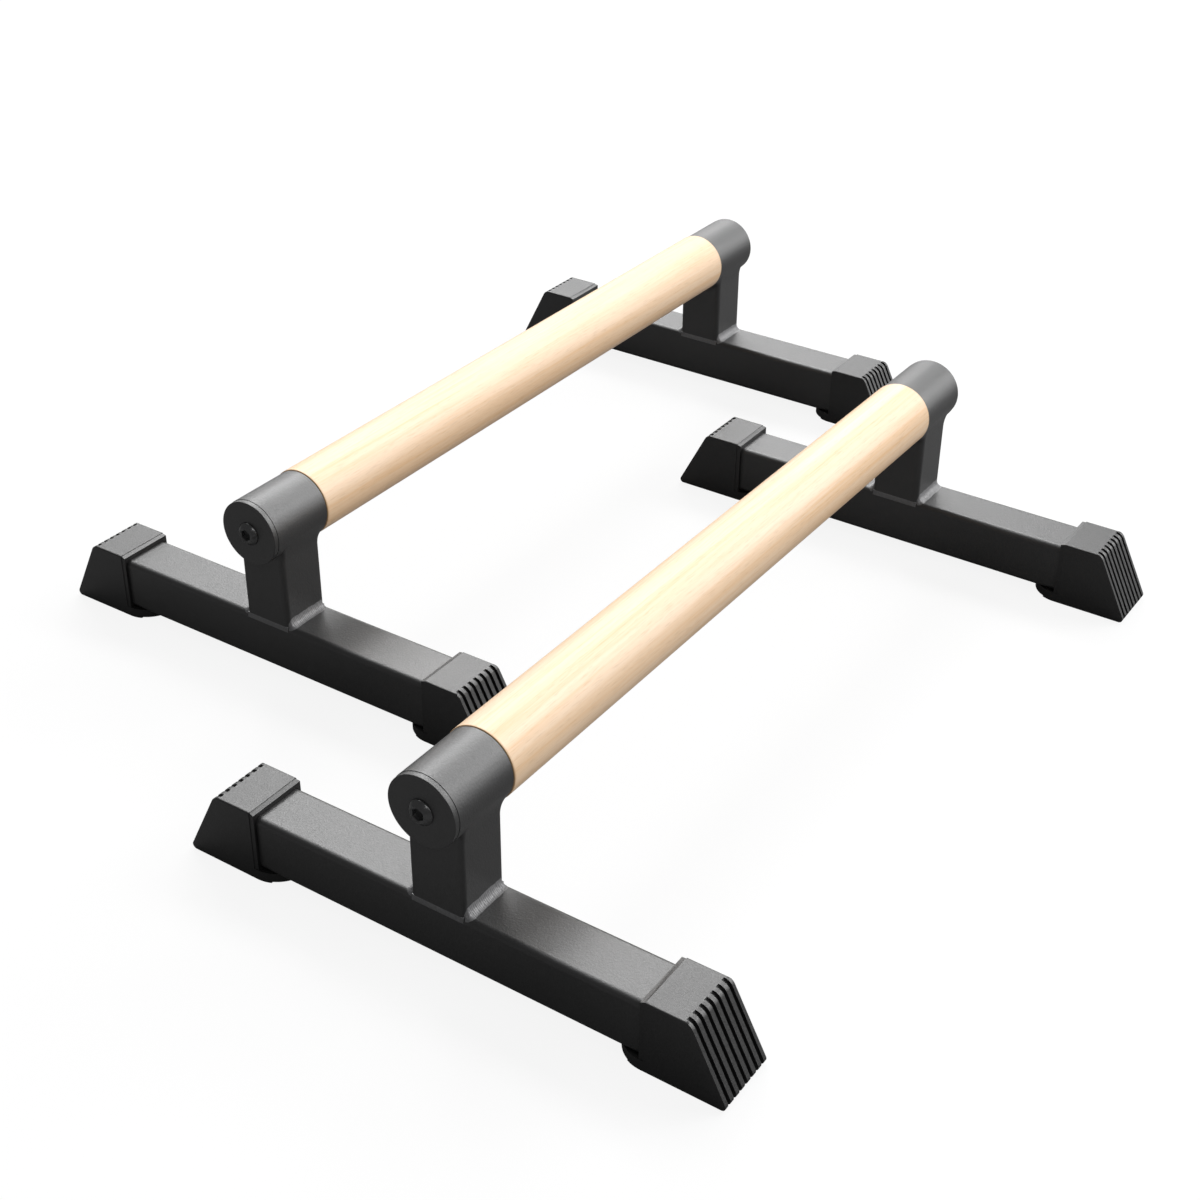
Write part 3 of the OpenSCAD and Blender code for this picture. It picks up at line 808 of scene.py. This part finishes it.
def flush_weld(work, half, end_sign, seed):
    """The weld laid flush in the groove between the upright's face and the tube's round edge."""
    loops = []
    flat = half - TUBE_CORNER
    for k in range(FLUSH_STEPS + 1):
        x = (-1 + 2 * k / FLUSH_STEPS) * (flat + FLUSH_REACH * TUBE_CORNER)
        sunk = TUBE_CORNER - math.sqrt(TUBE_CORNER ** 2 - max(0.0, abs(x) - flat) ** 2)
        lump = FLUSH_LUMPS * lumps((x, end_sign, 0), FLUSH_LUMP_SIZE, seed)
        face_y = end_sign * (half + max(0.0, FLUSH_PROUD + lump - sunk))
        arc = [(flat + TUBE_CORNER * math.sin(a), -TUBE_CORNER * (1 - math.cos(a)))
               for a in np.linspace(0, math.pi / 2, ARC_POINTS)]
        loop = [Vector((x, end_sign * y, z - FLUSH_SUNK)) for y, z in arc]
        loop += [Vector((x, face_y, -FLUSH_LOW * TUBE_CORNER)),
                 Vector((x, face_y, -FLUSH_HIGH * TUBE_CORNER)),
                 Vector((x, end_sign * half, FLUSH_RISE)), Vector((x, end_sign * flat, FLUSH_RISE))]
        loops.append([work.verts.new(p) for p in loop])
    skin_loops(work, loops)


def base_weld_mesh(stand, seed):
    """Both beads and both flush welds of one upright, about the middle of the tube's top."""
    low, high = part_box(f"{stand}_base_weld")
    post_low, post_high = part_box(f"{stand}_upright")
    half = (post_high[0] - post_low[0]) / 2
    middle = Vector(((low[0] + high[0]) / 2, (low[1] + high[1]) / 2, post_low[2]))
    width = high[0] - post_high[0] - RIPPLE_DEPTH
    height = high[2] - post_low[2]
    work = bmesh.new()
    bead_side(work, half, width, height, seed)
    bmesh.ops.rotate(work, verts=work.verts, matrix=Matrix.Rotation(math.pi, 3, "Z"))
    bead_side(work, half, width, height, seed + SECOND_BEAD)
    for end_sign in (-1, 1):
        flush_weld(work, half, end_sign, seed)
    bmesh.ops.recalc_face_normals(work, faces=work.faces)
    mesh = mesh_from(work, f"{stand}_fillet_weld", WELD_CREASE)
    mesh.transform(Matrix.Translation(middle))
    return mesh


for seed, (bar, end) in enumerate(STANDS):
    stand = f"{bar}_{end}"
    # the beads take the lighter weld grey, whose brightness is painted sheen
    weld = fit_piece(base_weld_mesh(stand, seed), f"{stand}_base_weld", sheen_painted_weld_coat)
print("fillet welds", len(STANDS), "each of", len(weld.data.polygons), "faces")

# %% [markdown]
# Under the collar the weld is a different one: a broad, smooth fillet that lets the collar
# flow into the upright's sides, and fills the corner under the part that overhangs. It is
# swept round the upright's section, and thins out round its front corners, so the first step
# is to list the points of that section, with what the weld does at each of them.

# %% Round the upright
ROUND_STEPS = 16
FRONT_STEPS = 8
FRONT_WRAP = math.radians(60)
FRONT_TAPER = 0.9


def upright_section(half):
    """Points round an upright, from the front corner of +X round the back to that of -X.

    With each go the outward direction, how far the weld has turned under the overhang, and
    the share of its full size that it has there."""
    flat = half - TUBE_CORNER
    path = []
    for k in range(FRONT_STEPS):
        beyond = 1 - k / FRONT_STEPS
        a = -FRONT_WRAP * beyond
        out = Vector((math.cos(a), math.sin(a), 0))
        size = 1 - FRONT_TAPER * beyond ** 2
        path.append((Vector((flat, -flat, 0)) + out * TUBE_CORNER, out, 0, size))
    for k in range(ROUND_STEPS + 1):
        t = k / ROUND_STEPS
        path.append((Vector((half, -flat + t * 2 * flat, 0)), Vector((1, 0, 0)), 0, 1))
    for k in range(1, ROUND_STEPS + 1):
        a = math.pi / 2 * k / ROUND_STEPS
        out = Vector((math.cos(a), math.sin(a), 0))
        path.append((Vector((flat, flat, 0)) + out * TUBE_CORNER, out, math.sin(a) ** 2, 1))
    for k in range(1, ROUND_STEPS + 1):
        path.append((Vector((flat * (1 - k / ROUND_STEPS), half, 0)), Vector((0, 1, 0)), 1, 1))
    other = [(Vector((-p.x, p.y, 0)), Vector((-o.x, o.y, 0)), u, s) for p, o, u, s in path[-2::-1]]
    return path + other


print("a collar weld has", 2 * (FRONT_STEPS + 3 * ROUND_STEPS) + 1, "cross-sections")

# %% [markdown]
# At each of those points a curve runs from the upright's face out to the collar's underside,
# whose height follows from the collar's circle. On the sides, where the collar curves up and
# away from the upright, the fillet is narrow and tall. Under the overhang it is about as broad
# as it is tall. A Boolean and a bevel could make a fillet too, but only an even one.

# %% Collar welds
SIDE_LEG_OUT = 2.9 * MM
SIDE_LEG_DOWN = 9.7 * MM
UNDER_LEG_OUT = 8.6 * MM
UNDER_LEG_DOWN = 9.0 * MM
SIDE_TANGENT = 2.0 * MM
CURVE_STEPS = 14
UNDER_WANDER = 0.10
UNDER_LUMP_SIZE = 6.0 * MM
COLLAR_SEED = 20
COLLAR_CREASE = 50


def collar_weld_mesh(bar, stand, seed):
    """The fillet under one collar, about the grip's axis, with the grip's middle towards +Y."""
    r = radius(f"{stand}_collar")
    low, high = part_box(f"{stand}_upright")
    half = (high[0] - low[0]) / 2
    middle = sum(reach(f"{stand}_upright", bar)) / 2

    def under(x):
        return -math.sqrt(max(r * r - x * x, 0))

    loops = []
    for point, out, turned, size in upright_section(half):
        fullness = size * (1 + UNDER_WANDER * lumps(point, UNDER_LUMP_SIZE, seed) * turned)
        leg_out = (SIDE_LEG_OUT + (UNDER_LEG_OUT - SIDE_LEG_OUT) * turned) * fullness
        leg_down = (SIDE_LEG_DOWN + (UNDER_LEG_DOWN - SIDE_LEG_DOWN) * turned) * fullness
        top = point + out * leg_out
        top.z = under(top.x)
        foot = point + Vector((0, 0, under(point.x) - leg_down))
        bend = point + Vector((0, 0, under(point.x) - SIDE_TANGENT * (1 - turned)))
        loop = []
        for j in range(CURVE_STEPS + 1):
            t = j / CURVE_STEPS
            loop.append((1 - t) ** 2 * top + 2 * t * (1 - t) * bend + t * t * foot)
        loop.append(foot - out * EMBED)
        loop.append(bend - out * EMBED + Vector((0, 0, EMBED)))
        loop.append(top + Vector((0, 0, EMBED)))
        loops.append(loop)
    work = bmesh.new()
    skin_loops(work, [[work.verts.new(p) for p in loop] for loop in loops])
    bmesh.ops.recalc_face_normals(work, faces=work.faces)
    mesh = mesh_from(work, f"{stand}_collar_fillet", COLLAR_CREASE)
    mesh.transform(Matrix.Translation((0, -middle, 0)))
    return mesh


for seed, (bar, end) in enumerate(STANDS):
    stand = f"{bar}_{end}"
    weld = fit_piece(collar_weld_mesh(bar, stand, seed + COLLAR_SEED), f"{stand}_collar_weld",
                     powder_coat, end_place(bar, end, outwards="front"))
print("collar fillets", len(STANDS), "each of", len(weld.data.polygons), "faces")

# %% [markdown]
# A plain white floor carries the pair. The camera sees it partly as its own glow, so that it
# stays white like a studio sweep, and partly by the light that falls on it, so that the soft
# shadow under the tubes remains. To all other rays it is a dark grey, because a floor that is
# white to them too would light the tubes' undersides more than the photograph shows.

# %% Floor
FLOOR_SIZE = 12.0
FLOOR_CELLS = 8
FLOOR_GAP = 0.2 * MM
SEEN_WHITE = (0.72, 0.72, 0.72, 1)
BOUNCE_GREY = (0.17, 0.17, 0.17, 1)
CAMERA_SHARE = 0.88
MIRROR_SHARE = 0.02


def seen_in_gloss(tree, rays):
    """A socket that is 1 where this surface or sky is mirrored in a gloss, or seen in glass."""
    added = new_node(tree, "ShaderNodeMath", operation="ADD", use_clamp=True)
    wire(tree, [
        (rays.outputs["Is Glossy Ray"], added.inputs[0]),
        (rays.outputs["Is Transmission Ray"], added.inputs[1])])
    return added.outputs[0]


floor_mesh = bpy.data.meshes.new("floor")
work = bmesh.new()
bmesh.ops.create_grid(work, x_segments=FLOOR_CELLS, y_segments=FLOOR_CELLS, size=FLOOR_SIZE / 2)
work.to_mesh(floor_mesh)
work.free()
floor = bpy.data.objects.new("floor", floor_mesh)
bpy.context.scene.collection.objects.link(floor)
floor.location.z = -FLOOR_GAP
sweep = bpy.data.materials.new("white_sweep")
sweep.use_nodes = True
tree = sweep.node_tree
tree.nodes.clear()
rays = tree.nodes.new("ShaderNodeLightPath")
whiteness = new_node(tree, "ShaderNodeMix", data_type="RGBA", in_6=BOUNCE_GREY, in_7=SEEN_WHITE)
lit = tree.nodes.new("ShaderNodeBsdfDiffuse")
glow = new_node(tree, "ShaderNodeEmission", in_Color=(1, 1, 1, 1), in_Strength=1.0)
camera_part = new_node(tree, "ShaderNodeMath", operation="MULTIPLY", in_1=CAMERA_SHARE)
glow_part = new_node(tree, "ShaderNodeMath", operation="MULTIPLY_ADD", in_1=MIRROR_SHARE)
lit_and_glow = tree.nodes.new("ShaderNodeMixShader")
surface = tree.nodes.new("ShaderNodeOutputMaterial")
wire(tree, [
    (rays.outputs["Is Camera Ray"], whiteness.inputs[0]),
    (whiteness.outputs[2], lit.inputs["Color"]),
    (rays.outputs["Is Camera Ray"], camera_part.inputs[0]),
    (seen_in_gloss(tree, rays), glow_part.inputs[0]),
    (camera_part.outputs[0], glow_part.inputs[2]),
    (glow_part.outputs[0], lit_and_glow.inputs[0]),
    (lit.outputs[0], lit_and_glow.inputs[1]),
    (glow.outputs[0], lit_and_glow.inputs[2]),
    (lit_and_glow.outputs[0], surface.inputs[0])])
floor_mesh.materials.append(sweep)
print("floor", FLOOR_SIZE, "m square, and to the camera", CAMERA_SHARE, "of its light is glow")

# %% [markdown]
# The photograph is lit like many catalogue pictures. Large soft lamps stand high behind the
# pair and draw the pale sheen along the tops of the tubes, and weaker ones at the sides and in
# front keep the faces that turn to the camera from going black. Two long, low ones behind
# stand for bright studio walls. All are area lamps, because a lamp's width sets how soft its
# sheen is; a sun lamp or a spot would leave hard little highlights on the paint. The table
# gives each lamp's place, width, height and watts.

# %% Lamps
LAMP_TARGET = (0, 0, 50 * MM)
LAMPS = {"main_softbox": ((0.16, 4.68, 5.20), 5.10, 1.97, 306),
         "left_softbox": ((-3.35, 4.29, 4.41), 3.49, 2.47, 223),
         "right_softbox": ((3.88, 4.31, 3.91), 3.49, 2.72, 245),
         "side_softbox": ((6.04, -0.53, 3.50), 3.49, 2.98, 66),
         "corner_softbox": ((-3.55, 2.77, 5.36), 1.47, 1.22, 79),
         "edge_softbox": ((-3.34, 0.59, 6.12), 3.49, 2.22, 93),
         "front_softbox": ((3.74, -3.49, 4.77), 2.98, 1.97, 61),
         "left_wall": ((-4.58, 5.09, 1.46), 6.53, 2.47, 116),
         "right_wall": ((4.58, 5.09, 1.46), 6.53, 2.47, 150)}


def softbox(name, place, width, height, watts):
    """A rectangular lamp that faces the pair."""
    lamp = bpy.data.lights.new(name, "AREA")
    lamp.shape = "RECTANGLE"
    lamp.size = width
    lamp.size_y = height
    lamp.energy = watts
    made = bpy.data.objects.new(name, lamp)
    bpy.context.scene.collection.objects.link(made)
    made.matrix_world = aim(Vector(place), Vector(LAMP_TARGET))


for name, (place, width, height, watts) in LAMPS.items():
    softbox(name, place, width, height, watts)
print("lamps", len(LAMPS), "with", sum(lamp[3] for lamp in LAMPS.values()), "watts in all")

# %% [markdown]
# The sky is white to the camera, so that in a side view the floor runs into it with hardly a
# horizon. As a light it is only a weak, even fill, which keeps the shadows open. An image of a
# real studio could light the scene too, but nine lamps and a fill are easier to balance.

# %% Sky
SKY_FILL = 0.13
SKY_MIRROR_SHARE = 0.05
world = bpy.data.worlds.new("white_studio")
world.use_nodes = True
tree = world.node_tree
background = tree.nodes["Background"]
background.inputs["Color"].default_value = (1, 1, 1, 1)
rays = tree.nodes.new("ShaderNodeLightPath")
seen_part = new_node(tree, "ShaderNodeMath", operation="MULTIPLY_ADD", in_1=SKY_MIRROR_SHARE)
strength = new_node(tree, "ShaderNodeMath", operation="MULTIPLY_ADD", in_1=1 - SKY_FILL,
                    in_2=SKY_FILL)
wire(tree, [
    (seen_in_gloss(tree, rays), seen_part.inputs[0]),
    (rays.outputs["Is Camera Ray"], seen_part.inputs[2]),
    (seen_part.outputs[0], strength.inputs[0]),
    (strength.outputs[0], background.inputs["Strength"])])
bpy.context.scene.world = world
bpy.context.scene.view_settings.view_transform = "Standard"
print("sky gives", SKY_FILL, "as fill and 1 to the camera")
